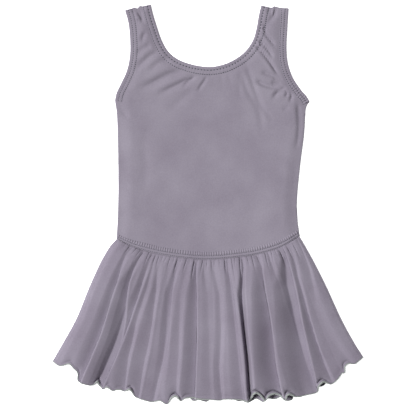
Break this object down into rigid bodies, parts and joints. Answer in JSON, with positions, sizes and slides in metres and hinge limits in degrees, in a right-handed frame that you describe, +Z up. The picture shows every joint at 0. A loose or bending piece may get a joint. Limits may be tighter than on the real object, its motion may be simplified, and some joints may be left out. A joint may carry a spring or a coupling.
{
  "type": "skirted tank leotard",
  "caption": "Child's tank leotard with a gathered skirt, laid flat: scoop neck, wide shoulder straps, banded neck and armholes, brief beneath, and a skirt with a waved, rolled hem.",
  "frame": {"origin": "middle of the whole outline, on the surface that the garment lies on", "axes": "+X to the right as the front is seen, +Y from the hem to the shoulders, +Z up out of the front"},
  "size_m": [0.3848, 0.4948, 0.0113],
  "materials": {
    "jersey": "matt cotton and elastane jersey",
    "skirt_jersey": "matt jersey, overlocked at the hem",
    "band": "turned edge over elastic, stitched in two rows"
  },
  "bodies": {
    "root": {"bodice_front": "jersey", "bodice_back": "jersey", "brief_front": "jersey", "brief_back": "jersey", "skirt_front": "skirt_jersey", "skirt_back": "skirt_jersey", "neck_band": "band", "armhole_band_left": "band", "armhole_band_right": "band", "waist_band": "band"}
  },
  "joints": []
}
